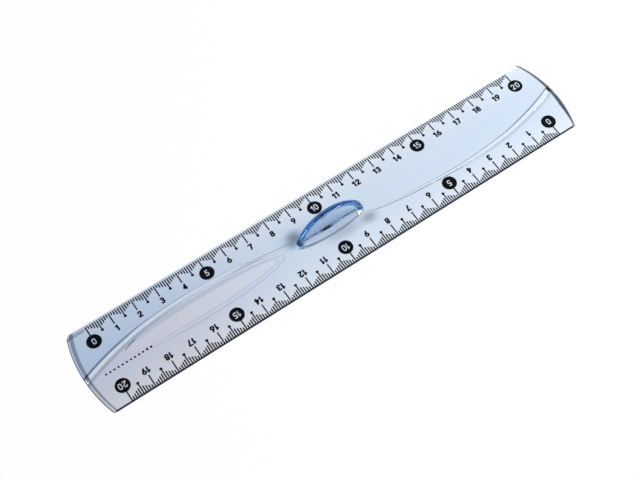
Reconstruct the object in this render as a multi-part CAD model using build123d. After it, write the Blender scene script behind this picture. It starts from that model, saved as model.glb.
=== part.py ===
from build123d import *
import os
from math import sqrt

# A clear plastic straight ruler, 20 cm long, with a finger grip that stands up in its middle.
# It has a centimetre scale along each long edge, printed on the underside, an S-shaped groove
# under it that deepens towards both ends, a shallow thumb recess and convex end faces.
# The ruler lies flat. X runs along the scales, Y across them and Z is up.
# The origin is the middle of the underside. All sizes are in millimetres.

# Blade
scale_length = 200.0
end_margin = 11.0
blade_width = 37.0
centre_thickness = 2.3
edge_thickness = 1.2
end_bow = 3.0
corner_radius = 0.9
end_chamfer = 0.8

# S-shaped groove in the underside, wider and deeper from the grip towards the blade's end
groove_start_width = 0.9
groove_end_width = 2.8
groove_start_depth = 0.15
groove_end_depth = 1.1
groove_wall_width = 0.25
groove_start_gap = 0.6
groove_section_count = 10

# Thumb recess, a leaf shape in the top of the left half
leaf_length = 71.0
leaf_width = 10.2
leaf_depth = 0.45
leaf_wall_width = 1.0
leaf_inset = 18.0
leaf_offset = 0.3
leaf_floor_shift = 0.4
leaf_turn = 0.8

# Finger grip, a half-moon fin with a thick rim, a dished web, a flared foot and a tongue
grip_length = 30.4
grip_height = 11.7
rim_thickness = 2.0
rim_width = 1.6
rim_round = 0.45
web_thickness = 1.2
flare_radius = 4.4
foot_length = 31.4
foot_width = 8.4
foot_seat_depth = 0.5
tongue_length = 12.0
tongue_thickness = 1.2
tongue_depth = 1.1
fit_clearance = 0.05

# Printing on the underside, which lies in a shallow bed so that it never rubs on the table
ink_thickness = 0.06
bed_depth = 0.12
bed_margin = 0.5
rest_rim_width = 0.35
ink_gap = 0.02

# Scale marks, each reach measured inwards from the blade's long edge
mark_count = 200
mark_width = 0.44
mark_rim_gap = 0.1
shortest_mark_reach = 1.9
longest_mark_reach = 3.5
half_mark_reach = 5.25
half_mark_dot_radius = 0.56
centimetre_mark_reach = 5.8

# Numerals and the round badges that carry every fifth one
numeral_height = 2.8
numeral_stroke = 0.64
numeral_gap = 0.3
numeral_inset = 7.9
badge_radius = 2.97
badge_inset = 7.7
badge_numeral_height = 2.7
badge_numeral_stroke = 0.46
badge_numeral_gap = 0.35

# Dotted writing line near the left end
line_dot_count = 12
line_dot_radius = 0.4
line_dot_pitch = 1.77
line_end_inset = 8.1
line_offset = 3.6

# One overrun serves every cut
overrun = 2.0

# Groove centre line: share of the way from the grip's foot to the blade's end, then share of
# half the blade's width
groove_path_shares = [
    (0.0, -0.146),
    (0.045, -0.195),
    (0.15, -0.278),
    (0.255, -0.327),
    (0.465, -0.376),
    (0.675, -0.311),
    (0.78, -0.222),
    (0.885, -0.089),
    (1.03, 0.162),
]

# Numeral strokes as shares of the height between the top and bottom centre lines.
# A line is a start and an end point.
numeral_line_shares = {
    "0": [((-0.26, -0.24), (-0.26, 0.24)), ((0.26, -0.24), (0.26, 0.24))],
    "1": [((-0.18, 0.28), (0.06, 0.5)), ((0.06, 0.5), (0.06, -0.5))],
    "2": [((0.225, 0.11), (-0.27, -0.5)), ((-0.27, -0.5), (0.27, -0.5))],
    "3": [],
    "4": [
        ((0.12, 0.5), (0.12, -0.5)),
        ((0.12, 0.5), (-0.29, -0.22)),
        ((-0.29, -0.22), (0.29, -0.22)),
    ],
    "5": [((0.22, 0.5), (-0.16, 0.5)), ((-0.16, 0.5), (-0.206, 0.012))],
    "6": [((-0.24, -0.08), (0.1, 0.5))],
    "7": [((-0.26, 0.5), (0.26, 0.5)), ((0.26, 0.5), (-0.08, -0.5))],
    "8": [],
    "9": [((0.24, 0.08), (-0.1, -0.5))],
}

# An arc is its centre and its radius, all shares, then its start angle and sweep in degrees.
numeral_arc_shares = {
    "0": [((0.0, 0.24), 0.26, 0.0, 180.0), ((0.0, -0.24), 0.26, 180.0, 180.0)],
    "1": [],
    "2": [((0.0, 0.24), 0.26, -30.0, 195.0)],
    "3": [((0.0, 0.26), 0.24, -90.0, 240.0), ((0.0, -0.24), 0.26, -150.0, 240.0)],
    "4": [],
    "5": [((-0.02, -0.21), 0.29, -140.0, 270.0)],
    "6": [((0.0, -0.22), 0.28, 0.0, 360.0)],
    "7": [],
    "8": [((0.0, 0.27), 0.23, 0.0, 360.0), ((0.0, -0.23), 0.27, 0.0, 360.0)],
    "9": [((0.0, 0.22), 0.28, 0.0, 360.0)],
}

full_turn = 360.0
half_turn = 180.0
quarter_turn = 90.0
marks_per_centimetre = 10
marks_per_half = 5
centimetres_per_badge = 5


def arc_radius(half_chord, rise):
    """Radius of the arc that rises this much over a chord twice as long as half_chord."""
    return (half_chord**2 + rise**2) / (2 * rise)


# Places that follow from the sizes above
blade_length = scale_length + 2 * end_margin
half_length = blade_length / 2
half_width = blade_width / 2
half_scale = scale_length / 2
crown_radius = arc_radius(half_width, centre_thickness - edge_thickness)
crown_axis_z = centre_thickness - crown_radius
end_corner_x = half_length - end_bow
tall_height = centre_thickness + overrun
seat_z = centre_thickness - foot_seat_depth
foot_top_z = crown_axis_z + sqrt(crown_radius**2 - (foot_width / 2) ** 2)
mark_pitch = scale_length / mark_count
mark_start = rest_rim_width + mark_rim_gap
bed_reach = badge_inset + badge_radius + bed_margin
bed_half_length = half_scale + badge_radius + bed_margin
standing = (Align.CENTER, Align.CENTER, Align.MIN)


def turned(shape):
    """The same shape turned half a turn about the blade's upright axis."""
    return Rot(0, 0, half_turn) * shape


def blade_outline():
    """Plan of the blade: straight long edges, convex ends and small corner rounds."""
    near_right = (end_corner_x, -half_width)
    far_right = (end_corner_x, half_width)
    far_left = (-end_corner_x, half_width)
    near_left = (-end_corner_x, -half_width)
    right_end = ThreePointArc(near_right, (half_length, 0), far_right)
    left_end = ThreePointArc(far_left, (-half_length, 0), near_left)
    outline = make_face([Line(near_left, near_right), right_end, Line(far_right, far_left), left_end])
    return fillet(outline.vertices(), corner_radius)


def crowned_slab(outline):
    """The blade's body, flat below and crowned across, with chamfered end faces."""
    crown = Rot(0, quarter_turn, 0) * Cylinder(crown_radius, blade_length + 2 * overrun)
    slab = extrude(outline, tall_height) & (Pos(0, 0, crown_axis_z) * crown)
    top_edges = slab.faces().sort_by(Axis.Z)[-1].edges()
    end_edges = [edge for edge in top_edges if abs(edge.center().X) > end_corner_x]
    end_arcs = sorted(end_edges, key=lambda edge: edge.length)[-2:]
    return chamfer(end_arcs, end_chamfer)


def groove_section(spot, heading, width, depth):
    """One cross-section of the groove: a flat roof and steep walls, run out below the blade."""
    plane = Plane(
        origin=(spot.X, spot.Y, 0),
        x_dir=(-heading.Y, heading.X, 0),
        z_dir=(heading.X, heading.Y, 0),
    )
    half = width / 2
    roof_half = half - groove_wall_width
    left_side = [(-half, -overrun), (-half, 0), (-roof_half, depth)]
    right_side = [(roof_half, depth), (half, 0), (half, -overrun)]
    return plane * make_face(Polyline(*left_side, *right_side, close=True))


def groove():
    """The right half of the S-shaped groove, wider and deeper towards the blade's end."""
    start_x = foot_length / 2 + groove_start_gap
    run = half_length - start_x
    points = [(start_x + along * run, across * half_width) for along, across in groove_path_shares]
    path = Spline(*points)
    sections = []
    for index in range(groove_section_count):
        share = index / (groove_section_count - 1)
        width = groove_start_width + share * (groove_end_width - groove_start_width)
        depth = groove_start_depth + share * (groove_end_depth - groove_start_depth)
        sections.append(groove_section(path @ share, path % share, width, depth))
    return loft(sections)


def leaf_recess():
    """The space of the thumb recess: an ellipse whose wall slopes down to a smaller floor."""
    floor_z = centre_thickness - leaf_depth
    top_z = centre_thickness + leaf_depth
    floor = Ellipse(leaf_length / 2 - leaf_wall_width, leaf_width / 2 - leaf_wall_width)
    mouth = Ellipse(leaf_length / 2 + leaf_wall_width, leaf_width / 2 + leaf_wall_width)
    shift = leaf_floor_shift
    space = loft([Pos(-shift, shift, floor_z) * floor, Pos(shift, -shift, top_z) * mouth])
    centre_x = leaf_inset + leaf_length / 2 - half_length
    return Pos(centre_x, -leaf_offset, 0) * Rot(0, 0, leaf_turn) * space


def grip_seat():
    """The pocket in the blade that takes the grip's foot, with the slot for its tongue."""
    plan = Ellipse(foot_length / 2 + fit_clearance, foot_width / 2 + fit_clearance)
    slot = Box(
        tongue_length + 2 * fit_clearance,
        tongue_thickness + 2 * fit_clearance,
        tongue_depth + fit_clearance,
        align=(Align.CENTER, Align.CENTER, Align.MAX),
    )
    return Pos(0, 0, seat_z) * (extrude(plan, tall_height) + slot)


def printing_beds():
    """Shallow beds in the underside for the two scales and the dotted line."""
    bed_width = bed_reach - rest_rim_width
    bed = Box(2 * bed_half_length, bed_width, 2 * bed_depth)
    scale_bed = Pos(0, half_width - rest_rim_width - bed_width / 2, 0) * bed
    line_length = (line_dot_count - 1) * line_dot_pitch
    dot_margin = line_dot_radius + bed_margin
    line_bed = extrude(SlotCenterToCenter(line_length, 2 * dot_margin), bed_depth, both=True)
    line_x = line_end_inset - half_length + line_length / 2
    return scale_bed, turned(scale_bed), Pos(line_x, -line_offset, 0) * line_bed


def blade():
    """The clear moulded blade."""
    right_groove = groove()
    body = crowned_slab(blade_outline()) - right_groove - turned(right_groove)
    body = body - leaf_recess() - grip_seat()
    for bed in printing_beds():
        body = body - bed
    return body


def foot_plan():
    """Plan of the grip's foot, a slim ellipse."""
    return Ellipse(foot_length / 2, foot_width / 2)


def fin_column(inset, depth):
    """A half ellipse of the fin's side view, less an inset, extruded to a depth across Y."""
    side_view = Ellipse(grip_length / 2 - inset, grip_height - inset)
    column = extrude(Plane.XZ * side_view, depth / 2, both=True)
    above = Box(2 * grip_length, 2 * depth, 2 * grip_height, align=standing)
    return Pos(0, 0, foot_top_z) * (column & above)


def grip_fin():
    """The half-moon fin with its rounded rim and a thinner web on both faces."""
    fin = fin_column(0, rim_thickness)
    rim_edges = [edge for edge in fin.edges() if edge.center().Z > foot_top_z + rim_width]
    fin = fillet(rim_edges, rim_round)
    dish_depth = (rim_thickness - web_thickness) / 2
    for side in (-1, 1):
        dish = fin_column(rim_width, 2 * dish_depth)
        fin = fin - Pos(0, side * rim_thickness / 2, 0) * dish
    return fin


def grip_flare():
    """The concave flare that leads from the web down to the foot's elliptical outline."""
    reach = web_thickness / 2 + flare_radius
    flare = Box(foot_length + overrun, 2 * reach, flare_radius, align=standing)
    hollow = Rot(0, quarter_turn, 0) * Cylinder(flare_radius, foot_length + 2 * overrun)
    for side in (-1, 1):
        flare = flare - Pos(0, side * reach, flare_radius) * hollow
    flare = flare & extrude(foot_plan(), grip_height)
    return (Pos(0, 0, foot_top_z) * flare) & fin_column(0, foot_width)


def finger_grip():
    """The grip: fin, flare, foot plate and the tongue that keys it into the blade."""
    foot = Pos(0, 0, seat_z) * extrude(foot_plan(), foot_top_z - seat_z)
    tongue = extrude(Rectangle(tongue_length, tongue_thickness), tongue_depth)
    return grip_fin() + grip_flare() + foot + Pos(0, 0, seat_z - tongue_depth) * tongue


def film(sketch):
    """A plan figure as a solid film of ink on the roof of its bed."""
    return Pos(0, 0, bed_depth - ink_thickness) * extrude(sketch, ink_thickness)


def mark(index, reach):
    """A straight scale mark at this division of the far scale, from near the edge to its reach."""
    length = reach - mark_start
    x = index * mark_pitch - half_scale
    return Pos(x, half_width - mark_start - length / 2) * Rectangle(mark_width, length)


def millimetre_marks():
    """The millimetre marks, which grow longer towards each half centimetre."""
    marks = []
    step = (longest_mark_reach - shortest_mark_reach) / (marks_per_half - 2)
    for index in range(mark_count):
        place = index % marks_per_half
        if place == 0:
            continue
        rising = index % marks_per_centimetre < marks_per_half
        rank = place if rising else marks_per_half - place
        marks.append(film(mark(index, shortest_mark_reach + (rank - 1) * step)))
    return marks


def half_centimetre_marks():
    """The half centimetre marks, each with a round dot at its inner end."""
    marks = []
    for index in range(marks_per_half, mark_count, marks_per_centimetre):
        place = Pos(index * mark_pitch - half_scale, half_width - half_mark_reach)
        marks.append(film(mark(index, half_mark_reach) + place * Circle(half_mark_dot_radius)))
    return marks


def centimetre_marks():
    """The centimetre marks, cut short where they meet a badge."""
    marks = []
    for centimetre in range(mark_count // marks_per_centimetre + 1):
        badged = centimetre % centimetres_per_badge == 0
        reach = badge_inset - badge_radius - ink_gap if badged else centimetre_mark_reach
        marks.append(film(mark(centimetre * marks_per_centimetre, reach)))
    return marks


def stroke_arc(centre, radius, start, sweep, stroke):
    """A round-ended arc stroke, or a ring when it sweeps a full turn."""
    if sweep == full_turn:
        return Pos(*centre) * (Circle(radius + stroke / 2) - Circle(radius - stroke / 2))
    return SlotArc(CenterArc(centre, radius, start, sweep), stroke)


def digit_figure(digit, height, stroke):
    """One digit as a plan figure of round-ended strokes about its own centre."""
    rise = height - stroke
    figure = Sketch()
    for start, end in numeral_line_shares[digit]:
        line = Line((start[0] * rise, start[1] * rise), (end[0] * rise, end[1] * rise))
        figure += SlotArc(line, stroke)
    for centre, radius, start, sweep in numeral_arc_shares[digit]:
        figure += stroke_arc((centre[0] * rise, centre[1] * rise), radius * rise, start, sweep, stroke)
    return figure


def number_figure(number, height, stroke, gap):
    """A number as a plan figure, its digits side by side and centred on the origin."""
    figures = []
    cursor = 0
    for digit in str(number):
        figure = digit_figure(digit, height, stroke)
        box = figure.bounding_box()
        figures.append(Pos(cursor - box.min.X, 0) * figure)
        cursor += box.size.X + gap
    middle = (cursor - gap) / 2
    joined = Sketch()
    for figure in figures:
        joined += Pos(-middle, 0) * figure
    return joined


def numerals():
    """The plain numerals, at each centimetre that has no badge."""
    prints = []
    for centimetre in range(mark_count // marks_per_centimetre + 1):
        if centimetre % centimetres_per_badge == 0:
            continue
        figure = number_figure(centimetre, numeral_height, numeral_stroke, numeral_gap)
        x = centimetre * marks_per_centimetre * mark_pitch - half_scale
        prints.append(film(Pos(x, half_width - numeral_inset) * figure))
    return prints


def badge(centimetre):
    """A solid disc with its number left clear in it."""
    figure = number_figure(centimetre, badge_numeral_height, badge_numeral_stroke, badge_numeral_gap)
    x = centimetre * marks_per_centimetre * mark_pitch - half_scale
    return film(Pos(x, half_width - badge_inset) * (Circle(badge_radius) - figure))


def line_dots():
    """The dots of the writing line near the left end."""
    dots = []
    for index in range(line_dot_count):
        x = line_end_inset - half_length + index * line_dot_pitch
        dots.append(film(Pos(x, -line_offset) * Circle(line_dot_radius)))
    return dots


def scale_prints():
    """Every print of the far scale, by the name of its node."""
    prints = {
        "millimetre_marks": millimetre_marks(),
        "half_centimetre_marks": half_centimetre_marks(),
        "centimetre_marks": centimetre_marks(),
        "numerals": numerals(),
    }
    for centimetre in range(0, mark_count // marks_per_centimetre + 1, centimetres_per_badge):
        prints[f"badge_{centimetre}"] = [badge(centimetre)]
    return prints


def as_solids(shapes):
    """All the solids of a list of shapes."""
    return [solid for shape in shapes for solid in shape.solids()]


def ruler_nodes():
    """Every node of the ruler, by name, as a list of solids."""
    nodes = {
        "blade": as_solids([blade()]),
        "finger_grip": as_solids([finger_grip()]),
        "writing_line_dots": as_solids(line_dots()),
    }
    for name, prints in scale_prints().items():
        solids = as_solids(prints)
        nodes[f"far_{name}"] = solids
        nodes[f"near_{name}"] = [turned(solid) for solid in solids]
    return nodes


os.makedirs("parts", exist_ok=True)
for node_name, node_solids in ruler_nodes().items():
    node_shape = node_solids[0] if len(node_solids) == 1 else Compound(children=node_solids)
    export_step(node_shape, f"parts/{node_name}.step")
    print(node_name, len(node_solids), "solids")
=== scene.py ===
"""The looks of a clear plastic 20 cm ruler with a finger grip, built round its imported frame."""

from __future__ import annotations

import logging
import math
from collections.abc import Callable, Iterator
from contextlib import contextmanager
from dataclasses import dataclass
from enum import Enum

import bpy
from mathutils import Matrix, Vector


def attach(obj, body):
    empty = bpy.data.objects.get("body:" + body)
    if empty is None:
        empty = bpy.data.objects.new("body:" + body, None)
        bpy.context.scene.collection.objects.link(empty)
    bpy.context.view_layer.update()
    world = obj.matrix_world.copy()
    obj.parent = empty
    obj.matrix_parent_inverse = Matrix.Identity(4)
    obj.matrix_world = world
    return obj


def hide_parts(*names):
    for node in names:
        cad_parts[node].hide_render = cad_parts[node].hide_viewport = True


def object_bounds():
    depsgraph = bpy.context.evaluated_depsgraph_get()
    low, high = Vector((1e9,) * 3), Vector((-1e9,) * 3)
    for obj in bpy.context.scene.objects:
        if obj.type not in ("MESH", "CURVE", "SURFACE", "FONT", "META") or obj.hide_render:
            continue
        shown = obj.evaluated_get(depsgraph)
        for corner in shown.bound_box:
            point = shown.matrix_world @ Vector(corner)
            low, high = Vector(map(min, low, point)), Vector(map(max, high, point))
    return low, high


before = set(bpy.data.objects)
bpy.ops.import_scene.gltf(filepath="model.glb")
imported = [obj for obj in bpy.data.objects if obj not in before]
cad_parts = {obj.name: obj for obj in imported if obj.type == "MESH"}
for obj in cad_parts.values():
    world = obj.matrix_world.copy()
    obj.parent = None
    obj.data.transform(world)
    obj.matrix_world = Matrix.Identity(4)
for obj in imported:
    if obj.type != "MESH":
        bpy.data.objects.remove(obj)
cad_low, cad_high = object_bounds()

LOG = logging.getLogger("ruler")
MM = 0.001
BODY = "root"
MERGE_DISTANCE = 0.002 * MM
CREASE_ANGLE = math.radians(24)
HALF_LENGTH = (cad_high.x - cad_low.x) / 2
HALF_WIDTH = (cad_high.y - cad_low.y) / 2
END_BOW = 3.0 * MM
CURVE_RISE = 0.5
LAST_SHARE = 1 - 1e-9
UNIT = (0.0, 1.0)

Drape = Callable[[float, float], Vector]
Piece = bpy.types.Object
Socket = bpy.types.NodeSocket
Pair = tuple[float, float]
Tint = tuple[float, float, float, float]


def arc_radius(half_chord: float, rise: float) -> float:
    """Radius of the arc that rises this much over a chord of twice this half."""
    return (half_chord**2 + rise**2) / (2 * rise)


END_RADIUS = arc_radius(HALF_WIDTH, END_BOW)


class Pick(Enum):
    """What is picked in edit mode."""

    POINTS = "VERT"
    EDGES = "EDGE"


def deselect_all() -> None:
    """Leave nothing selected, the nodes of the frame included."""
    bpy.ops.object.select_all(action="DESELECT")


def activate(piece: Piece) -> None:
    """Select one object alone and make it the active one.

    Args:
        piece: The object.
    """
    deselect_all()
    piece.select_set(True)
    bpy.context.view_layer.objects.active = piece


@contextmanager
def editing(piece: Piece, pick: Pick = Pick.POINTS) -> Iterator[bpy.types.Mesh]:
    """Work on a piece in edit mode with one kind of element picked.

    Args:
        piece: The mesh object to edit.
        pick: What is picked.

    Yields:
        The piece's mesh.
    """
    activate(piece)
    bpy.ops.object.mode_set(mode="EDIT")
    bpy.ops.mesh.select_mode(type=pick.value)
    try:
        yield piece.data
    finally:
        bpy.ops.object.mode_set(mode="OBJECT")


def close_and_clean(piece: Piece) -> None:
    """Merge doubled points and turn every face outwards.

    Args:
        piece: The piece that is cleaned.
    """
    with editing(piece):
        bpy.ops.mesh.select_all(action="SELECT")
        bpy.ops.mesh.remove_doubles(threshold=MERGE_DISTANCE)
        bpy.ops.mesh.normals_make_consistent(inside=False)


def draped_block(name: str, columns: int, rows: int, drape: Drape, floor_z: float) -> Piece:
    """A grid laid over a form, then extruded down to a flat floor and closed.

    Args:
        name: Name of the new object.
        columns: Faces of the grid along its first direction.
        rows: Faces of the grid along its second direction.
        drape: Gives a grid point's place from its two shares, each from -1 to 1.
        floor_z: Height of the flat underside.

    Returns:
        The closed solid.
    """
    deselect_all()
    bpy.ops.mesh.primitive_grid_add(x_subdivisions=columns, y_subdivisions=rows, size=2)
    block = bpy.context.object
    block.name = block.data.name = name
    for point in block.data.vertices:
        point.co = drape(point.co.x, point.co.y)
    with editing(block, Pick.EDGES):
        bpy.ops.mesh.select_all(action="DESELECT")
        bpy.ops.mesh.select_non_manifold()
        bpy.ops.mesh.extrude_edges_move(TRANSFORM_OT_translate={"value": (0, 0, -MM)})
        bpy.ops.transform.resize(value=(1, 1, 0), center_override=(0, 0, floor_z))
        bpy.ops.mesh.edge_face_add()
    close_and_clean(block)
    return block


def cut_away(piece: Piece, tool: Piece) -> None:
    """Remove what a tool body covers, then delete the tool.

    Args:
        piece: The piece that is cut.
        tool: The closed solid that cuts it.
    """
    boolean = piece.modifiers.new("cut", "BOOLEAN")
    boolean.operation = "DIFFERENCE"
    boolean.object = tool
    boolean.solver = "EXACT"
    activate(piece)
    bpy.ops.object.modifier_apply(modifier=boolean.name)
    bpy.data.objects.remove(tool)


def smooth(piece: Piece) -> None:
    """Shade a piece smooth and keep every edge sharper than the crease angle."""
    activate(piece)
    bpy.ops.object.shade_smooth_by_angle(angle=CREASE_ANGLE)


def dress(piece: Piece, material: bpy.types.Material) -> None:
    """Give a piece one material in place of what it has."""
    piece.data.materials.clear()
    piece.data.materials.append(material)


class NodePainter:
    """Short calls that place and wire the nodes of one tree."""

    def __init__(self, tree: bpy.types.NodeTree) -> None:
        """Empty the tree and keep it."""
        self.tree = tree
        tree.nodes.clear()

    def add(self, kind: str, settings: dict | None = None, **sockets: object) -> bpy.types.Node:
        """Place one node.

        Args:
            kind: The node's Blender type.
            settings: Values of the node's own properties.
            **sockets: Input name with underscores for spaces, and a value or the socket to link.

        Returns:
            The new node.
        """
        node = self.tree.nodes.new(kind)
        for key, value in (settings or {}).items():
            setattr(node, key, value)
        for key, value in sockets.items():
            self.feed(node, key.replace("_", " "), value)
        return node

    def maths(self, operation: str, first: object, second: object = 0.0) -> Socket:
        """Place one sum of two numbers and hand back its result."""
        node = self.add("ShaderNodeMath", {"operation": operation}, **{"0": first, "1": second})
        return node.outputs[0]

    def both(self, first: object, second: object) -> Socket:
        """Place the product of two numbers, which for two masks is where both hold."""
        return self.maths("MULTIPLY", first, second)

    def length(self, first: object, second: object) -> Socket:
        """Length of the vector with these two components."""
        squares = self.maths("ADD", self.both(first, first), self.both(second, second))
        return self.maths("SQRT", squares)

    def ramp(self, value: object, start: float, end: float) -> Socket:
        """A mask that rises smoothly from 0 at one value to 1 at another."""
        return self.add("ShaderNodeMapRange", {"interpolation_type": "SMOOTHSTEP"}, Value=value,
                        From_Min=start, From_Max=end).outputs[0]

    def remap(self, value: object, source: Pair, target: Pair = UNIT) -> Socket:
        """Carry a number over from one range to another, and hold it there past both ends.

        Args:
            value: Socket of the number.
            source: The range that it is read in.
            target: The range that it is carried to.

        Returns:
            The number in its new range.
        """
        node = self.add("ShaderNodeMapRange", Value=value, From_Min=source[0], From_Max=source[1],
                        To_Min=target[0], To_Max=target[1])
        return node.outputs[0]

    def stripe(self, value: object, start: float, end: float, soft: float) -> Socket:
        """A mask that is 1 between two values and fades over a soft edge at both.

        Args:
            value: The socket that the stripe is measured along.
            start: Value at the middle of the first edge.
            end: Value at the middle of the second edge.
            soft: Width of each edge.

        Returns:
            The mask.
        """
        rise = self.ramp(value, start - soft / 2, start + soft / 2)
        fall = self.ramp(value, end + soft / 2, end - soft / 2)
        return self.both(rise, fall)

    def blend(self, share: object, low: object, high: Tint, how: str = "MIX") -> Socket:
        """Bring a tint into a colour.

        Args:
            share: Socket of the tint's share.
            low: The colour at share 0, or its socket.
            high: The tint at share 1.
            how: Blender's name for the way to blend.

        Returns:
            The blended colour.
        """
        mix = self.add("ShaderNodeMix", {"data_type": "RGBA", "blend_type": how},
                       **{"0": share, "6": low, "7": high})
        return mix.outputs[2]

    def multiply_tint(self, colour: object, mask: object, tint: Tint) -> Socket:
        """Multiply a colour by a tint where a mask asks for it."""
        return self.blend(mask, colour, tint, "MULTIPLY")

    def feed(self, node: bpy.types.Node, name: str, value: object) -> None:
        """Set one input of a node, or link it where the value is a socket.

        Args:
            node: The node.
            name: The input's name or number.
            value: The value or the socket.
        """
        socket = node.inputs[int(name)] if name.isdigit() else node.inputs[name]
        if isinstance(value, Socket):
            self.tree.links.new(value, socket)
        else:
            socket.default_value = value


def new_group(
    name: str, inputs: dict[str, float | None], outputs: tuple[str, ...]
) -> bpy.types.ShaderNodeTree:
    """Start a shader node group with its sockets.

    Args:
        name: Name of the group.
        inputs: Each input's name with its default number, or with None where it is a vector.
        outputs: Names of the outputs, which are all numbers.

    Returns:
        The group, still without nodes.
    """
    group = bpy.data.node_groups.new(name, "ShaderNodeTree")
    for label, value in inputs.items():
        kind = "NodeSocketVector" if value is None else "NodeSocketFloat"
        socket = group.interface.new_socket(label, in_out="INPUT", socket_type=kind)
        if value is not None:
            socket.default_value = value
    for label in outputs:
        group.interface.new_socket(label, in_out="OUTPUT", socket_type="NodeSocketFloat")
    return group


def moulded_surface_group(
    turn: float = math.radians(17), stretch: float = 0.06, fade: Pair = (0.62, 0.731),
    coarse: float = 0.7, details: tuple[float, float, float] = (1.0, 2.0, 3.0)
) -> bpy.types.ShaderNodeTree:
    """The node group for moulded and handled clear plastic: soft waves, scratches and clouds.

    Args:
        turn: Angle of the scratches in plan.
        stretch: Width of a scratch as a share of its length.
        fade: Range of the noise over which a scratch fades in.
        coarse: Roughness of the scratches' noise.
        details: Octaves of the noise for the waves, the clouds and the scratches.

    Returns:
        A group with a Vector input and one for each scale and share. Its outputs are Height,
        Scuff, a mask of the scratches, and Cloud, a mask of the tint.
    """
    name = "Moulded Surface"
    if name in bpy.data.node_groups:
        return bpy.data.node_groups[name]
    inputs = {"Vector": None, "Wave Scale": 60.0, "Cloud Scale": 20.0, "Scratch Scale": 300.0,
              "Scratch Share": 0.1}
    group = new_group(name, inputs, ("Height", "Scuff", "Cloud"))
    paint = NodePainter(group)
    given = paint.add("NodeGroupInput").outputs
    wave = paint.add("ShaderNodeTexNoise", Vector=given["Vector"], Scale=given["Wave Scale"],
                     Detail=details[0])
    cloud = paint.add("ShaderNodeTexNoise", Vector=given["Vector"], Scale=given["Cloud Scale"],
                      Detail=details[1])
    turned = paint.add("ShaderNodeMapping", Vector=given["Vector"], Rotation=(0, 0, turn),
                       Scale=(stretch, 1, 1))
    hair = paint.add("ShaderNodeTexNoise", Vector=turned.outputs["Vector"],
                     Scale=given["Scratch Scale"], Detail=details[2], Roughness=coarse)
    scuff = paint.both(paint.remap(hair.outputs[0], fade), given["Scratch Share"])
    height = paint.maths("SUBTRACT", wave.outputs[0], scuff)
    paint.add("NodeGroupOutput", Height=height, Scuff=scuff, Cloud=cloud.outputs[0])
    return group


def oval_reach_group() -> bpy.types.ShaderNodeTree:
    """The node group that measures a place against an ellipse.

    Returns:
        A group with inputs X, Y, Centre X, Centre Y, Half X and Half Y. Its outputs are Share,
        the place's share of the way from centre to outline, and Distance, its distance outside
        the outline, which is nearly right close to it.
    """
    name = "Oval Reach"
    if name in bpy.data.node_groups:
        return bpy.data.node_groups[name]
    axes = ("X", "Y")
    inputs = {label + axis: 1.0 for label in ("", "Centre ", "Half ") for axis in axes}
    group = new_group(name, inputs, ("Share", "Distance"))
    paint = NodePainter(group)
    given = paint.add("NodeGroupInput").outputs
    shares = []
    steps = []
    for axis in axes:
        offset = paint.maths("SUBTRACT", given[axis], given["Centre " + axis])
        shares.append(paint.maths("DIVIDE", offset, given["Half " + axis]))
        steps.append(paint.maths("DIVIDE", shares[-1], given["Half " + axis]))
    share = paint.length(*shares)
    rise = paint.both(share, paint.maths("SUBTRACT", share, 1.0))
    distance = paint.maths("DIVIDE", rise, paint.length(*steps))
    paint.add("NodeGroupOutput", Share=share, Distance=distance)
    return group


@dataclass(frozen=True)
class Oval:
    """An ellipse in millimetres, in the blade's plan or the grip's side view, and its tint."""

    centre: Pair
    halves: Pair
    tint: Tint

    def reach(self, paint: NodePainter, x: Socket, y: Socket) -> tuple[Socket, Socket]:
        """Measure a place against the ellipse.

        Args:
            paint: The nodes' painter.
            x: The place's first coordinate.
            y: The place's second coordinate.

        Returns:
            The place's share of the way to the outline, and its distance outside it.
        """
        node = paint.add("ShaderNodeGroup", {"node_tree": oval_reach_group()}, X=x, Y=y,
                         Centre_X=self.centre[0] * MM, Centre_Y=self.centre[1] * MM,
                         Half_X=self.halves[0] * MM, Half_Y=self.halves[1] * MM)
        return node.outputs["Share"], node.outputs["Distance"]


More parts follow.
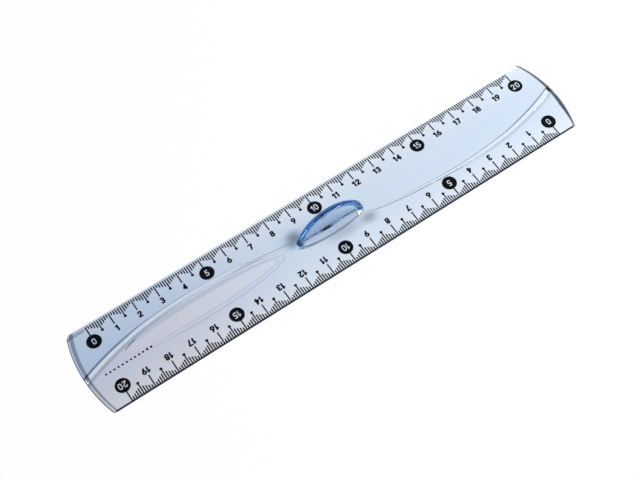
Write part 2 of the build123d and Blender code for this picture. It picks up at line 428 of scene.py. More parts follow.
@dataclass(frozen=True)
class ClearPlastic:
    """Clear polystyrene that turns blue with depth, with the soft waves of a moulding."""

    name: str
    depth_colour: Tint
    depth_density: float
    pale_tint: Tint = (1.0, 1.0, 1.0, 1.0)
    deep_tint: Tint = (0.96, 0.965, 0.985, 1.0)
    refraction: float = 1.55
    roughness: Pair = (0.015, 0.10)
    cloud_scale: float = 22.0
    wave_scale: float = 45.0
    scratch_scale: float = 260.0
    scratch_share: float = 0.3
    relief: float = 0.02 * MM
    relief_strength: float = 0.2

    def painted_shade_and_tint(self, paint: NodePainter, place: Socket, colour: Socket) -> Socket:
        """Hand back the tint as it is; the blade's finish paints shade in here, the grip's tints
        its rim.
        """
        return colour

    def dulled(self, paint: NodePainter, place: Socket, gloss: Socket) -> Socket:
        """Hand back the roughness as it is; a finish with matt walls raises it there."""
        return gloss

    def material(self) -> bpy.types.Material:
        """Build the finish.

        Returns:
            A glass material with its colour in its depth, clear to the lamps' rays.
        """
        made = bpy.data.materials.new(self.name)
        made.use_nodes = True
        paint = NodePainter(made.node_tree)
        place = paint.add("ShaderNodeTexCoord").outputs["Object"]
        surface = paint.add("ShaderNodeGroup", {"node_tree": moulded_surface_group()}, Vector=place,
                            Wave_Scale=self.wave_scale, Cloud_Scale=self.cloud_scale,
                            Scratch_Scale=self.scratch_scale,
                            Scratch_Share=self.scratch_share).outputs
        tint = paint.blend(surface["Cloud"], self.pale_tint, self.deep_tint)
        gloss = paint.remap(surface["Scuff"], UNIT, self.roughness)
        bump = paint.add("ShaderNodeBump", Strength=self.relief_strength, Distance=self.relief,
                         Height=surface["Height"])
        # On the blade this base colour holds painted shade; on the grip, a deeper blue along the
        # rim.
        glass = paint.add("ShaderNodeBsdfPrincipled", Base_Color=self.painted_shade_and_tint(paint, place, tint),
                          Roughness=self.dulled(paint, place, gloss),
                          Normal=bump.outputs[0], IOR=self.refraction, Transmission_Weight=1.0)
        clear = paint.add("ShaderNodeBsdfTransparent")
        ray = paint.add("ShaderNodeLightPath").outputs
        unbent = paint.maths("MAXIMUM", ray["Is Shadow Ray"], ray["Is Diffuse Ray"])
        either = paint.add("ShaderNodeMixShader",
                           **{"0": unbent, "1": glass.outputs[0], "2": clear.outputs[0]})
        depth = paint.add("ShaderNodeVolumeAbsorption", Color=self.depth_colour,
                          Density=self.depth_density)
        paint.add("ShaderNodeOutputMaterial", Surface=either.outputs[0], Volume=depth.outputs[0])
        return made


@dataclass(frozen=True)
class Canvas:
    """What the blade's shades are painted with: the nodes' painter, the places and the masks.

    seen_x and seen_y measure the top where it stands over the underside in the reference view.
    """

    paint: NodePainter
    x: Socket
    y: Socket
    z: Socket
    seen_x: Socket
    seen_y: Socket
    top: Socket
    right: Socket
    left: Socket


@dataclass(frozen=True)
class BladePlastic(ClearPlastic):
    """The blade's plastic, with painted shade at its ends, edges, groove, thumb recess and foot.

    A mask fades in from the first place of its pair to the second, or stands between the two
    where it is a line with soft edges.
    """

    name: str = "blade_plastic"
    depth_colour: Tint = (0.08, 0.43, 0.774, 1.0)
    depth_density: float = 90.0
    top_height: Pair = (0.1 * MM, 0.3 * MM)
    top_shift: Pair = (0.4 * MM, 0.7 * MM)
    middle: Pair = (-1.0 * MM, 1.0 * MM)
    # Painted shade: a dark band along each end, near black at the right end and grey at the left.
    end_band: Pair = (2.45 * MM, 1.95 * MM)
    end_lean: float = 0.03
    end_starts: Pair = (0.5 * MM, 0.95 * MM)
    end_soft: float = 0.2 * MM
    end_shade_tints: tuple[Tint, Tint] = ((0.015, 0.018, 0.024, 1.0), (0.19, 0.21, 0.25, 1.0))
    taper_start: float = -8.0 * MM
    taper_slope: float = 0.14
    # Painted shade: a dark line along the left end's outline.
    outline: Pair = (0.45 * MM, 0.3 * MM)
    outline_shade_tint: Tint = (0.06, 0.065, 0.07, 1.0)
    # Painted shade: a near-black line along the near edge's rim and wall.
    near_edge: Pair = (0.4 * MM - HALF_WIDTH, 0.25 * MM - HALF_WIDTH)
    near_edge_height: Pair = (0.0, 0.1 * MM)
    near_edge_shade_tint: Tint = (0.0015, 0.0015, 0.003, 1.0)
    near_wall: Pair = (0.04 * MM - HALF_WIDTH, 0.02 * MM - HALF_WIDTH)
    near_wall_roughness: float = 1.0
    # Painted shade: a grey strip and a thin darker line along the far edge at the left end.
    corner: Pair = (11.0 * MM - HALF_LENGTH, 9.5 * MM - HALF_LENGTH)
    corner_strip: Pair = (HALF_WIDTH - 2.4 * MM, HALF_WIDTH - 1.0 * MM)
    corner_soft: float = 0.4 * MM
    corner_shade_tint: Tint = (0.33, 0.34, 0.34, 1.0)
    corner_rim: Pair = (HALF_WIDTH - 0.7 * MM, HALF_WIDTH - 0.5 * MM)
    corner_rim_shade_tint: Tint = (0.7, 0.72, 0.75, 1.0)
    groove: tuple[Pair, ...] = ()
    groove_run: Pair = (0.0, HALF_LENGTH)
    groove_half_widths: Pair = (1.0 * MM, 1.0 * MM)
    # Painted shade: a dark line on the groove's near side towards both ends, and one on its far
    # side near the ends.
    groove_near_fade: Pair = (50.0 * MM, 80.0 * MM)
    groove_near_line: Pair = (-1.75, -0.6)
    groove_near_soft: float = 0.5
    groove_near_shade_tints: tuple[Tint, Tint] = ((0.60, 0.66, 0.70, 1.0), (0.42, 0.50, 0.58, 1.0))
    groove_far_fade: Pair = (74.0 * MM, 96.0 * MM)
    groove_far_lines: tuple[Pair, Pair] = ((0.7, 1.2), (0.8, 1.45))
    groove_far_soft: float = 0.4
    groove_far_shade_tints: tuple[Tint, Tint] = ((0.38, 0.46, 0.52, 1.0), (0.36, 0.43, 0.50, 1.0))
    # Painted shade over the left half: darker and bluer on the groove's far side, warmer on its
    # near side.
    left_fade: Pair = (-10.0 * MM, -80.0 * MM)
    side_fade: Pair = (0.5, 1.5)
    far_shade_tint: Tint = (0.66, 0.75, 0.92, 1.0)
    near_shade_tint: Tint = (0.95, 0.80, 0.80, 1.0)
    # Painted shade: dark lines along the thumb recess's two outlines and a grey band on its far
    # wall.
    leaf_outlines: tuple[Oval, Oval] = (
        Oval((-57.2, -0.4), (35.6, 5.2), (0.60, 0.64, 0.70, 1.0)),
        Oval((-57.3, 0.0), (33.2, 3.7), (0.62, 0.66, 0.72, 1.0)),
    )
    leaf_fade: Pair = (-94.0 * MM, -66.0 * MM)
    leaf_line: Pair = (-0.4 * MM, 0.1 * MM)
    leaf_soft: float = 0.4 * MM
    leaf_wall: tuple[Pair, Pair] = ((0.1 * MM, -0.3 * MM), (-0.3 * MM, 0.3 * MM))
    leaf_far_side: Pair = (1.0 * MM, 3.0 * MM)
    leaf_far_shade_tint: Tint = (0.78, 0.80, 0.84, 1.0)
    # Painted shadow of the grip's fin on the blade, beside both ends of its foot and along its near
    # side.
    grip_painted_shadows: tuple[Oval, ...] = (
        Oval((-14.2, 4.2), (5.8, 5.6), (0.20, 0.20, 0.20, 1.0)),
        Oval((15.2, -5.0), (5.5, 4.0), (0.36, 0.36, 0.39, 1.0)),
        Oval((4.0, -4.6), (14.0, 4.5), (0.55, 0.52, 0.58, 1.0)),
    )
    grip_shadow_fade: Pair = (1.0, 0.1)
    # Painted shade where the grip's plates meet the blade: a grey line, a black slit and a black
    # bar.
    grip_shade_lines: tuple[Oval, ...] = (
        Oval((-1.5, 0.3), (8.0, 0.6), (0.45, 0.47, 0.54, 1.0)),
        Oval((-1.2, 0.35), (3.4, 0.6), (0.002, 0.002, 0.004, 1.0)),
        Oval((13.1, -0.7), (1.6, 0.45), (0.01, 0.012, 0.018, 1.0)),
    )
    grip_shade_line_fade: Pair = (1.1, 0.6)
    # Painted shade: a dark line round the near side of the foot, darker towards its left end.
    foot_outline: Oval = Oval((0.0, 0.2), (16.0, 3.4), (0.24, 0.27, 0.32, 1.0))
    foot_line: Pair = (-0.5 * MM, 0.4 * MM)
    foot_soft: float = 0.8 * MM
    foot_near_side: Pair = (-0.5 * MM, -1.5 * MM)
    foot_left_side: Pair = (0.0, -12.0 * MM)
    foot_left_shade_tint: Tint = (0.3, 0.35, 0.45, 1.0)

    def canvas(self, paint: NodePainter, place: Socket) -> Canvas:
        """Measure the places and masks that the shades share.

        Args:
            paint: The nodes' painter.
            place: The object coordinates.

        Returns:
            The canvas.
        """
        x, y, z = paint.add("ShaderNodeSeparateXYZ", Vector=place).outputs
        right = paint.ramp(x, *self.middle)
        left = paint.maths("SUBTRACT", 1.0, right)
        seen_x, seen_y = (paint.maths("ADD", *pair) for pair in zip((x, y), self.top_shift))
        return Canvas(paint, x, y, z, seen_x, seen_y, paint.ramp(z, *self.top_height), right, left)

    def groove_share(self, canvas: Canvas) -> Socket:
        """Distance across the groove as a share of its half width, with 0 on its centre line.

        Args:
            canvas: The places to measure.

        Returns:
            The share, below 0 on the side of the near edge.
        """
        paint, x, y = canvas.paint, canvas.seen_x, canvas.seen_y
        along = paint.remap(paint.maths("ABSOLUTE", x), self.groove_run)
        curve = paint.add("ShaderNodeFloatCurve", Value=along)
        line = curve.mapping.curves[0]
        while len(line.points) < len(self.groove):
            line.points.new(0.5, 0.5)
        for point, (share, across) in zip(line.points, self.groove):
            point.location = (share, across + CURVE_RISE)
        curve.mapping.update()
        centre = paint.both(paint.maths("SUBTRACT", curve.outputs[0], CURVE_RISE), HALF_WIDTH)
        offset = paint.maths("SUBTRACT", y, paint.both(centre, paint.maths("SIGN", x)))
        half = paint.remap(along, UNIT, self.groove_half_widths)
        return paint.maths("DIVIDE", offset, half)

    def ends_shaded(self, canvas: Canvas, colour: Socket) -> Socket:
        """Paint shade into the band along each end, and into the outline of the left one.

        Args:
            canvas: The places and masks.
            colour: The tint so far.

        Returns:
            The stained tint.
        """
        paint, x, y = canvas.paint, canvas.x, canvas.y
        past = paint.maths("SUBTRACT", paint.maths("ABSOLUTE", x), HALF_LENGTH - END_RADIUS)
        inset = paint.maths("SUBTRACT", END_RADIUS, paint.length(past, y))
        lean = paint.both(paint.both(paint.maths("SIGN", x), y), self.end_lean)
        corner_gap = paint.maths("MAXIMUM", paint.maths("SUBTRACT", self.taper_start, y), 0.0)
        taper = paint.both(paint.both(corner_gap, canvas.right), self.taper_slope)
        leaning = paint.maths("ADD", paint.maths("ADD", inset, lean), taper)
        band = paint.both(paint.ramp(leaning, *self.end_band), canvas.top)
        for half, tint, start in zip((canvas.right, canvas.left), self.end_shade_tints, self.end_starts):
            outer = paint.ramp(inset, start - self.end_soft, start + self.end_soft)
            colour = paint.multiply_tint(colour, paint.both(band, paint.both(outer, half)), tint)
        outline = paint.both(paint.ramp(inset, *self.outline), canvas.top)
        return paint.multiply_tint(colour, paint.both(outline, canvas.left), self.outline_shade_tint)

    def edges_shaded(self, canvas: Canvas, colour: Socket) -> Socket:
        """Paint shade along the near edge, and into the strip and the rim at the far left corner.

        Args:
            canvas: The places and masks.
            colour: The tint so far.

        Returns:
            The stained tint.
        """
        paint, y = canvas.paint, canvas.y
        height = paint.ramp(canvas.z, *self.near_edge_height)
        near_edge = paint.both(paint.ramp(y, *self.near_edge), height)
        colour = paint.multiply_tint(colour, near_edge, self.near_edge_shade_tint)
        corner = paint.both(paint.ramp(canvas.x, *self.corner), canvas.top)
        strip = paint.both(corner, paint.stripe(y, *self.corner_strip, self.corner_soft))
        colour = paint.multiply_tint(colour, strip, self.corner_shade_tint)
        rim = paint.both(corner, paint.ramp(y, *self.corner_rim))
        return paint.multiply_tint(colour, rim, self.corner_rim_shade_tint)

    def groove_shaded(self, canvas: Canvas, colour: Socket) -> Socket:
        """Paint shade lines beside the groove, and other shades on its two sides over the left
        half.

        Args:
            canvas: The places and masks.
            colour: The tint so far.

        Returns:
            The stained tint.
        """
        paint, top = canvas.paint, canvas.top
        across = self.groove_share(canvas)
        out = paint.maths("ABSOLUTE", canvas.x)
        near_fade = paint.both(paint.ramp(out, *self.groove_near_fade), top)
        near_line = paint.stripe(across, *self.groove_near_line, self.groove_near_soft)
        near = paint.both(near_fade, near_line)
        far_fade = paint.both(paint.ramp(out, *self.groove_far_fade), top)
        halves = (canvas.right, canvas.left)
        tints = zip(self.groove_near_shade_tints, self.groove_far_shade_tints)
        for half, (near_shade_tint, far_shade_tint), span in zip(halves, tints, self.groove_far_lines):
            colour = paint.multiply_tint(colour, paint.both(near, half), near_shade_tint)
            far = paint.both(far_fade, paint.stripe(across, *span, self.groove_far_soft))
            colour = paint.multiply_tint(colour, paint.both(far, half), far_shade_tint)
        fade = paint.both(paint.ramp(canvas.x, *self.left_fade), top)
        for tint, sign in ((self.far_shade_tint, 1), (self.near_shade_tint, -1)):
            side = paint.ramp(across, *(sign * place for place in self.side_fade))
            colour = paint.multiply_tint(colour, paint.both(fade, side), tint)
        return colour

    def leaf_shaded(self, canvas: Canvas, colour: Socket) -> Socket:
        """Paint shade on both outlines of the thumb recess, less to its left tip, and on its far
        wall.

        Args:
            canvas: The places and masks.
            colour: The tint so far.

        Returns:
            The stained tint.
        """
        paint, x, y, top = canvas.paint, canvas.seen_x, canvas.seen_y, canvas.top
        clear = paint.both(top, paint.ramp(x, *self.leaf_fade))
        outside = [oval.reach(paint, x, y)[1] for oval in self.leaf_outlines]
        for oval, distance in zip(self.leaf_outlines, outside):
            line = paint.stripe(distance, *self.leaf_line, self.leaf_soft)
            colour = paint.multiply_tint(colour, paint.both(line, clear), oval.tint)
        between = paint.both(
            *(paint.ramp(distance, *span) for distance, span in zip(outside, self.leaf_wall))
        )
        far = paint.both(between, paint.ramp(y, *self.leaf_far_side))
        return paint.multiply_tint(colour, paint.both(far, top), self.leaf_far_shade_tint)

    def foot_shaded(self, canvas: Canvas, colour: Socket) -> Socket:
        """Paint the grip's shadow round its foot, and shade lines where its plates meet the blade.

        Args:
            canvas: The places and masks.
            colour: The tint so far.

        Returns:
            The stained tint.
        """
        paint, x, y, top = canvas.paint, canvas.seen_x, canvas.seen_y, canvas.top
        shades = [(oval, self.grip_shadow_fade) for oval in self.grip_painted_shadows]
        lines = [(oval, self.grip_shade_line_fade) for oval in self.grip_shade_lines]
        for oval, fade in shades + lines:
            mask = paint.ramp(oval.reach(paint, x, y)[0], *fade)
            colour = paint.multiply_tint(colour, paint.both(mask, top), oval.tint)
        distance = self.foot_outline.reach(paint, x, y)[1]
        line = paint.stripe(distance, *self.foot_line, self.foot_soft)
        near = paint.both(paint.both(line, top), paint.ramp(y, *self.foot_near_side))
        colour = paint.multiply_tint(colour, near, self.foot_outline.tint)
        near_left = paint.both(near, paint.ramp(x, *self.foot_left_side))
        return paint.multiply_tint(colour, near_left, self.foot_left_shade_tint)

    def painted_shade_and_tint(self, paint: NodePainter, place: Socket, colour: Socket) -> Socket:
        """Paint shade at the ends, the edges, both sides of the groove, the thumb recess and the
        foot.

        Args:
            paint: The nodes' painter.
            place: The object coordinates.
            colour: The plain tint.

        Returns:
            The stained tint.
        """
        canvas = self.canvas(paint, place)
        colour = self.edges_shaded(canvas, self.ends_shaded(canvas, colour))
        colour = self.groove_shaded(canvas, colour)
        return self.foot_shaded(canvas, self.leaf_shaded(canvas, colour))

    def dulled(self, paint: NodePainter, place: Socket, gloss: Socket) -> Socket:
        """Make the near wall matt, so that it mirrors less of the pale floor.

        Args:
            paint: The nodes' painter.
            place: The object coordinates.
            gloss: The roughness elsewhere.

        Returns:
            The roughness.
        """
        y = paint.add("ShaderNodeSeparateXYZ", Vector=place).outputs[1]
        matt = paint.remap(y, self.near_wall, (0.0, self.near_wall_roughness))
        return paint.maths("MAXIMUM", gloss, matt)


@dataclass(frozen=True)
class GripPlastic(ClearPlastic):
    """The grip's plastic, a deeper blue along the fin's rim, told by its place in the side view."""

    name: str = "grip_plastic_clear"
    depth_colour: Tint = (0.107, 0.393, 0.75, 1.0)
    depth_density: float = 170.0
    side_view: Oval = Oval((0.0, 2.1), (15.2, 11.7), (0.24, 0.52, 0.86, 1.0))
    rim: Pair = (0.83, 0.88)

    def painted_shade_and_tint(self, paint: NodePainter, place: Socket, colour: Socket) -> Socket:
        """Tint the rim.

        Args:
            paint: The nodes' painter.
            place: The object coordinates.
            colour: The plain tint.

        Returns:
            The stained tint.
        """
        x, _, z = paint.add("ShaderNodeSeparateXYZ", Vector=place).outputs
        share = self.side_view.reach(paint, x, z)[0]
        return paint.multiply_tint(colour, paint.ramp(share, *self.rim), self.side_view.tint)


@dataclass(frozen=True)
class ScreenInk:
    """Black screen ink, a little uneven and matt."""

    name: str = "black_ink_print"
    dense: Tint = (0.001, 0.001, 0.002, 1.0)
    thin: Tint = (0.003, 0.003, 0.004, 1.0)
    grain_scale: float = 1800.0
    grain_detail: float = 2.0
    roughness: Pair = (0.55, 0.75)
    specular_level: float = 0.05
    relief: float = 0.01 * MM
    relief_strength: float = 0.3

    def material(self) -> bpy.types.Material:
        """Build the finish.

        Returns:
            The ink's material.
        """
        made = bpy.data.materials.new(self.name)
        made.use_nodes = True
        paint = NodePainter(made.node_tree)
        place = paint.add("ShaderNodeTexCoord")
        grain = paint.add("ShaderNodeTexNoise", Vector=place.outputs["Object"],
                          Scale=self.grain_scale, Detail=self.grain_detail)
        bump = paint.add("ShaderNodeBump", Strength=self.relief_strength, Distance=self.relief,
                         Height=grain.outputs[0])
        coat = paint.add("ShaderNodeBsdfPrincipled",
                         Base_Color=paint.blend(grain.outputs[0], self.dense, self.thin),
                         Roughness=paint.remap(grain.outputs[0], UNIT, self.roughness),
                         Normal=bump.outputs[0],
                         Specular_IOR_Level=self.specular_level)
        paint.add("ShaderNodeOutputMaterial", Surface=coat.outputs[0])
        return made


@dataclass
class Blade:
    """The clear blade: crowned top, convex ends, S-shaped groove and thumb recess."""

    finish: ClearPlastic
    centre_thickness: float = 2.3 * MM
    edge_thickness: float = 1.2 * MM
    corner_radius: float = 0.9 * MM
    end_chamfer: float = 0.8 * MM
    columns: int = 222
    rows: int = 52
    groove_widths: Pair = (0.9 * MM, 2.8 * MM)
    groove_depths: Pair = (0.15 * MM, 1.1 * MM)
    groove_wall_width: float = 0.11 * MM
    groove_far_share: float = 0.7
    groove_roof_share: float = 0.5
    groove_start_gap: float = 0.6 * MM
    groove_columns: int = 160
    groove_rows: int = 8
    groove_step: float = 0.004
    groove_path_shares: tuple[Pair, ...] = (
        (0.0, -0.146), (0.045, -0.195), (0.15, -0.278), (0.255, -0.327), (0.465, -0.376),
        (0.675, -0.311), (0.78, -0.222), (0.885, -0.089), (1.03, 0.162)
    )
    groove_exit: Pair = (1.0, 0.119)
    leaf_length: float = 71.0 * MM
    leaf_width: float = 10.2 * MM
    leaf_depth: float = 0.45 * MM
    leaf_wall_width: float = 1.0 * MM
    leaf_inset: float = 18.0 * MM
    leaf_offset: float = 0.3 * MM
    leaf_floor_shift: float = 0.4 * MM
    leaf_turn: float = math.radians(0.8)
    leaf_sides: int = 192
    foot_length: float = 31.4 * MM
    foot_width: float = 8.4 * MM

    def __post_init__(self) -> None:
        """Work out the places that follow from the sizes."""
        self.crown_radius = arc_radius(HALF_WIDTH, self.centre_thickness - self.edge_thickness)

    def crown_z(self, y: float) -> float:
        """Height of the crowned top at this distance from the centre line."""
        return self.centre_thickness - self.crown_radius + math.sqrt(self.crown_radius**2 - y**2)

    def end_x(self, y: float) -> float:
        """Reach of the convex end at this distance from the centre line."""
        return HALF_LENGTH - END_RADIUS + math.sqrt(END_RADIUS**2 - y**2)

    def plan(self, u: float, v: float) -> Pair:
        """Place of a grid point in the blade's outline, with convex ends and round corners.

        Args:
            u: Share of the half length, from -1 to 1.
            v: Share of the half width, from -1 to 1.

        Returns:
            The point's X and Y.
        """
        y = v * HALF_WIDTH
        reach = self.end_x(y)
        x = u * reach
        past_x = (abs(x) - reach + self.corner_radius) / self.corner_radius
        past_y = (abs(y) - HALF_WIDTH + self.corner_radius) / self.corner_radius
        if past_x <= 0 or past_y <= 0:
            return x, y
        pull = max(past_x, past_y) / math.hypot(past_x, past_y)
        x = math.copysign(reach - self.corner_radius * (1 - past_x * pull), x)
        y = math.copysign(HALF_WIDTH - self.corner_radius * (1 - past_y * pull), y)
        return x, y

    def top_point(self, u: float, v: float) -> Vector:
        """Place of a grid point on the crowned top, with its chamfered ends.

        Args:
            u: Share of the half length, from -1 to 1.
            v: Share of the half width, from -1 to 1.

        Returns:
            The point. The grid's last column at each end lies on the chamfer.
        """
        share = 1 - self.end_chamfer / HALF_LENGTH
        edge = 1 - 1 / self.columns
        if abs(u) > edge:
            u = math.copysign(share + (abs(u) - edge) / (1 - edge) * (1 - share), u)
        else:
            u = u * share / edge
        x, y = self.plan(u, v)
        drop = max(0.0, (abs(u) - share) * HALF_LENGTH)
        return Vector((x, y, self.crown_z(y) - drop))

    def groove_line(self, share: float) -> Vector:
        """Point of the groove's centre line in plan, at a share of its knots.

        Args:
            share: From 0, beside the grip, to 1, past the blade's end.

        Returns:
            The point, on a smooth curve through the knots.
        """
        start = self.foot_length / 2 + self.groove_start_gap
        run = HALF_LENGTH - start
        knots = [Vector((start + a * run, b * HALF_WIDTH)) for a, b in self.groove_path_shares]
        knots = [2 * knots[0] - knots[1], *knots, 2 * knots[-1] - knots[-2]]
        place = min(share, LAST_SHARE) * (len(knots) - 3)
        index = int(place)
        t = place - index
        before, low, high, after = knots[index : index + 4]
        return 0.5 * (
            2 * low
            + (high - before) * t
            + (2 * before - 5 * low + 4 * high - after) * t**2
            + (3 * low - before - 3 * high + after) * t**3
        )

    def groove_point(self, u: float, v: float) -> Vector:
        """Place of a grid point on the right groove: a flat roof and a steep wall on each side.

        Args:
            u: Share along the groove, from -1 to 1.
            v: Share across it, from -1 to 1.

        Returns:
            The point.
        """
        share = (u + 1) / 2
        spot = self.groove_line(share)
        ahead = self.groove_line(min(1.0, share + self.groove_step))
        ahead -= self.groove_line(max(0.0, share - self.groove_step))
        across = Vector((-ahead.y, ahead.x)).normalized()
        along = (spot.x - self.foot_length / 2) / (HALF_LENGTH - self.foot_length / 2)
        width, depth = (
            start + along * (end - start) for start, end in (self.groove_widths, self.groove_depths)
        )
        roof_half = width / 2 - self.groove_wall_width
        step = (abs(v) - self.groove_roof_share) / (1 - self.groove_roof_share)
        reach = roof_half * abs(v) / self.groove_roof_share
        drop = 0.0
        if step > 0:
            reach = roof_half + step * self.groove_wall_width
            drop = depth * step
        place = spot + across * (reach * self.groove_far_share if v > 0 else -reach)
        return Vector((place.x, place.y, depth - drop))

    def cut_grooves(self, blade: Piece) -> None:
        """Cut the S-shaped groove's two halves into the underside.

        Args:
            blade: The blade's body.
        """
        grid = (self.groove_columns, self.groove_rows)
        right = draped_block("groove", *grid, self.groove_point, -self.centre_thickness)
        left = right.copy()
        left.data = right.data.copy()
        left.data.transform(Matrix.Rotation(math.pi, 4, "Z"))
        bpy.context.scene.collection.objects.link(left)
        cut_away(blade, right)
        cut_away(blade, left)

    def cut_leaf(self, blade: Piece) -> None:
        """Cut the leaf-shaped thumb recess, whose wall slopes down to a smaller floor.

        Args:
            blade: The blade's body.
        """
        low = self.centre_thickness - self.leaf_depth
        high = self.centre_thickness + self.leaf_depth
        halves = (self.leaf_length / 2, self.leaf_width / 2)
        centre = Vector((self.leaf_inset + halves[0] - HALF_LENGTH, -self.leaf_offset, 0))
        deselect_all()
        bpy.ops.mesh.primitive_cylinder_add(
            vertices=self.leaf_sides, radius=1, depth=high - low, location=(0, 0, (low + high) / 2)
        )
        bpy.ops.object.transform_apply(location=True, rotation=True, scale=True)
        tool = bpy.context.object
        for point in tool.data.vertices:
            side = 1 if point.co.z > self.centre_thickness else -1
            reach = [half + side * self.leaf_wall_width for half in halves]
            point.co.x = point.co.x * reach[0] + side * self.leaf_floor_shift
            point.co.y = point.co.y * reach[1] - side * self.leaf_floor_shift
        tool.data.transform(Matrix.Translation(centre) @ Matrix.Rotation(self.leaf_turn, 4, "Z"))
        cut_away(blade, tool)

    def build(self) -> list[Piece]:
        """Model and dress the blade.

        Returns:
            The finished pieces.
        """
        blade = draped_block("blade_clear", self.columns, self.rows, self.top_point, 0.0)
        self.cut_grooves(blade)
        self.cut_leaf(blade)
        close_and_clean(blade)
        smooth(blade)
        dress(blade, self.finish.material())
        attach(blade, BODY)
        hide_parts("blade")
        return [blade]


@dataclass
class FingerGrip:
    """The half-moon grip: a slightly bowed fin with a thick rim, on a flared elliptic foot."""

    finish: ClearPlastic
    blade: Blade
    length: float = 30.4 * MM
    height: float = 11.7 * MM
    rim_thickness: float = 2.0 * MM
    rim_width: float = 1.6 * MM
    rim_round: float = 0.45 * MM
    rim_fillet: float = 0.5 * MM
    web_thickness: float = 1.2 * MM
    flare_height: float = 0.9 * MM
    flare_power: float = 1.3
    bow_height: float = 4.4 * MM
    bow: float = 1.15 * MM
    bow_middle: float = 0.5 * MM
    sink: float = 0.05 * MM
    crest_gap: float = 0.004 * MM
    turns: int = 112
    rings: int = 30
    ring_shares: tuple[float, ...] = (0.2, 0.35, 0.5)

    def __post_init__(self) -> None:
        """Work out the places that follow from the sizes."""
        self.foot_half_length = self.blade.foot_length / 2
        self.foot_half_width = self.blade.foot_width / 2
        self.foot_top_z = self.blade.crown_z(self.foot_half_width)

    def inset(self, share: float) -> float:
        """Distance in from the fin's outline for a ring, close-set where the rim curves.

        Args:
            share: From 0, on the outline, to 1, on the foot.

        Returns:
            The ring's distance from the outline.
        """
        insets = (self.rim_round, self.rim_width, self.rim_width + self.rim_fillet)
        knots = ((0.0, 0.0), *zip(self.ring_shares, insets), (1.0, self.height))
        for (low, near), (high, far) in zip(knots, knots[1:]):
            if share <= high:
                part = (share - low) / (high - low)
                if low == 0.0:
                    return far * (1 - math.cos(part * math.pi / 2))
                return near + part * (far - near)
        return self.height

    def half_thickness(self, x: float, z: float, inset: float) -> float:
        """Half the fin's thickness at a point of its side view.

        Args:
            x: Place along the fin.
            z: Height above the foot's top.
            inset: Distance in from the fin's outline.

        Returns:
            Half the thickness there, the flare included.
        """
        rim, web = self.rim_thickness / 2, self.web_thickness / 2
        if inset < self.rim_round:
            plate = rim - self.rim_round + math.sqrt(
                max(0.0, self.rim_round**2 - (self.rim_round - inset) ** 2)
            )
        elif inset < self.rim_width:
            plate = rim
        elif inset < self.rim_width + self.rim_fillet:
            share = (inset - self.rim_width) / self.rim_fillet
            plate = web + (rim - web) * (1 + math.cos(share * math.pi)) / 2
        else:
            plate = web
        spread = max(0.0, 1 - (x / self.foot_half_length) ** 2)
        foot = self.foot_half_width * math.sqrt(spread)
        climb = min(1.0, max(0.0, z) / self.flare_height)
        flare = web + max(0.0, foot - web) * (1 - climb) ** self.flare_power
        return max(plate, flare) if climb < 1 else plate

    def fin_point(self, u: float, v: float) -> Vector:
        """Place of a grid point on the fin.

        Args:
            u: Share of the turn about the fin's side view, from -1 to 1.
            v: Share of the way over its rim, from -1 to 1, with 0 on the crest.

        Returns:
            The point.
        """
        angle = (1 - u) * math.pi / 2
        inset = self.inset(abs(v))
        x = (self.length / 2 - inset) * math.cos(angle)
        z = (self.height - self.crest_gap - inset) * math.sin(angle)
        climb = min(1.0, z / self.bow_height)
        y = climb * (self.bow_middle - self.bow * (2 * x / self.length) ** 2)
        if inset > 0.0:
            y += math.copysign(self.half_thickness(x, z, inset), v)
        return Vector((x, y, self.foot_top_z + z))

    def build(self) -> list[Piece]:
        """Model and dress the grip.

        Returns:
            The finished pieces.
        """
        underside = self.foot_top_z - self.sink
        rows = 2 * self.rings
        grip = draped_block("finger_grip_clear", self.turns, rows, self.fin_point, underside)
        close_and_clean(grip)
        smooth(grip)
        dress(grip, self.finish.material())
        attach(grip, BODY)
        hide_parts("finger_grip")
        return [grip]


@dataclass
class Printing:
    """The two scales and the writing line, whose films stay as the frame has them."""

    finish: ScreenInk
    clear_nodes: tuple[str, ...] = ("blade", "finger_grip")

    def build(self) -> list[Piece]:
        """Dress every printed node.

        Returns:
            The dressed nodes.
        """
        ink = self.finish.material()
        nodes = sorted(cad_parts.items())
        films = [node for name, node in nodes if name not in self.clear_nodes]
        for film in films:
            dress(film, ink)
        return films


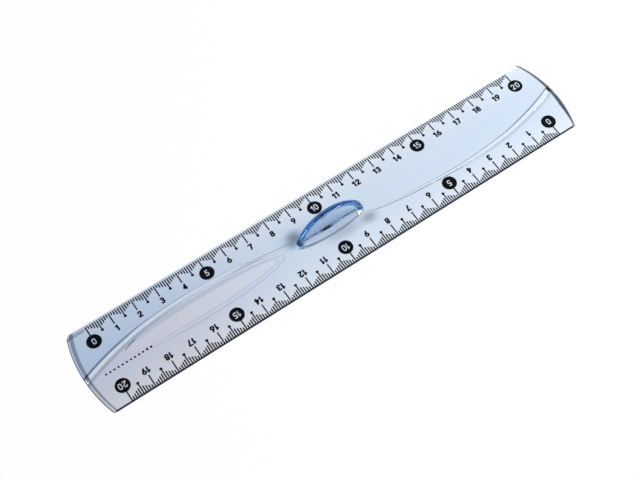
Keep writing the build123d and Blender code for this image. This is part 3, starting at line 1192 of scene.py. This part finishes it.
@dataclass
class Studio:
    """A white floor, soft light from above and the camera of the reference view."""

    floor_size: float = 6.0
    floor_drop: float = 0.02 * MM
    floor_colour: Tint = (0.86, 0.86, 0.87, 1.0)
    floor_glow_seen: float = 0.94
    floor_glow_bent: float = 0.15
    sky_colour: Tint = (0.97, 0.98, 1.0, 1.0)
    sky_level: float = 0.05
    key_place: tuple[float, float, float] = (0.55, -0.25, 0.68)
    key_size: float = 0.4
    key_power: float = 13.0
    camera_place: tuple[float, float, float] = (-0.12523, -0.21244, 0.43877)
    camera_look: tuple[float, float, float] = (0.23768, 0.41999, -0.87585)
    camera_roll: float = math.radians(-5.2)
    camera_lens: float = 72.3
    camera_sensor: float = 36.0
    camera_clip: Pair = (0.01, 20.0)

    def floor(self) -> None:
        """Lay the white floor, just under the blade."""
        deselect_all()
        bpy.ops.mesh.primitive_plane_add(size=self.floor_size, location=(0, 0, -self.floor_drop))
        floor = bpy.context.object
        floor.name = "floor"
        made = bpy.data.materials.new("white_floor")
        made.use_nodes = True
        paint = NodePainter(made.node_tree)
        ray = paint.add("ShaderNodeLightPath").outputs
        bent = paint.maths("MAXIMUM", ray["Is Glossy Ray"], ray["Is Transmission Ray"])
        seen = paint.both(ray["Is Camera Ray"], self.floor_glow_seen)
        glow_share = paint.maths("MAXIMUM", seen, paint.both(bent, self.floor_glow_bent))
        matt = paint.add("ShaderNodeBsdfDiffuse", Color=self.floor_colour)
        glow = paint.add("ShaderNodeEmission", Color=(1, 1, 1, 1), Strength=1.0)
        mixed = paint.add("ShaderNodeMixShader",
                          **{"0": glow_share, "1": matt.outputs[0], "2": glow.outputs[0]})
        paint.add("ShaderNodeOutputMaterial", Surface=mixed.outputs[0])
        floor.data.materials.append(made)

    def sky(self) -> None:
        """Set the dim soft light all round, which the camera sees as white."""
        world = bpy.data.worlds.new("studio")
        bpy.context.scene.world = world
        world.use_nodes = True
        paint = NodePainter(world.node_tree)
        ray = paint.add("ShaderNodeLightPath").outputs
        dim = paint.add("ShaderNodeBackground", Color=self.sky_colour, Strength=self.sky_level)
        white = paint.add("ShaderNodeBackground", Color=(1, 1, 1, 1), Strength=1.0)
        seen = paint.add("ShaderNodeMixShader",
                         **{"0": ray["Is Camera Ray"], "1": dim.outputs[0], "2": white.outputs[0]})
        paint.add("ShaderNodeOutputWorld", Surface=seen.outputs[0])

    def key_lamp(self) -> None:
        """Hang the soft key lamp up to the right, in front of the ruler."""
        lamp = bpy.data.lights.new("key", "AREA")
        lamp.shape = "SQUARE"
        lamp.size = self.key_size
        lamp.energy = self.key_power
        key = bpy.data.objects.new("key", lamp)
        key.location = self.key_place
        key.rotation_mode = "QUATERNION"
        key.rotation_quaternion = Vector(self.key_place).to_track_quat("Z", "Y")
        bpy.context.scene.collection.objects.link(key)

    def camera(self) -> None:
        """Place the camera of the reference view."""
        lens = bpy.data.cameras.new("camera")
        lens.lens = self.camera_lens
        lens.sensor_width = self.camera_sensor
        lens.clip_start, lens.clip_end = self.camera_clip
        camera = bpy.data.objects.new("camera", lens)
        look = Vector(self.camera_look)
        turn = look.to_track_quat("-Z", "Y").to_matrix() @ Matrix.Rotation(self.camera_roll, 3, "Z")
        place = Vector(self.camera_place)
        camera.matrix_world = Matrix.LocRotScale(place, turn.to_quaternion(), None)
        bpy.context.scene.collection.objects.link(camera)
        bpy.context.scene.camera = camera

    def build(self) -> None:
        """Set up the floor, the light and the camera."""
        self.floor()
        self.sky()
        self.key_lamp()
        self.camera()
        bpy.context.scene.view_settings.view_transform = "Standard"


def main() -> None:
    """Build the ruler's parts in order and report each piece."""
    logging.basicConfig(level=logging.INFO, format="%(name)s: %(message)s")
    groove_start = Blade.foot_length / 2 + Blade.groove_start_gap
    plastic = BladePlastic(
        groove=(*Blade.groove_path_shares[:-1], Blade.groove_exit),
        groove_run=(groove_start, HALF_LENGTH),
        groove_half_widths=tuple(width / 2 for width in Blade.groove_widths),
    )
    blade = Blade(plastic)
    grip = FingerGrip(GripPlastic(), blade)
    printing = Printing(ScreenInk())
    for part in (blade, grip, printing):
        for piece in part.build():
            LOG.info("%s: %d faces", piece.name, len(piece.data.polygons))
    Studio().build()


if __name__ == "__main__":
    main()
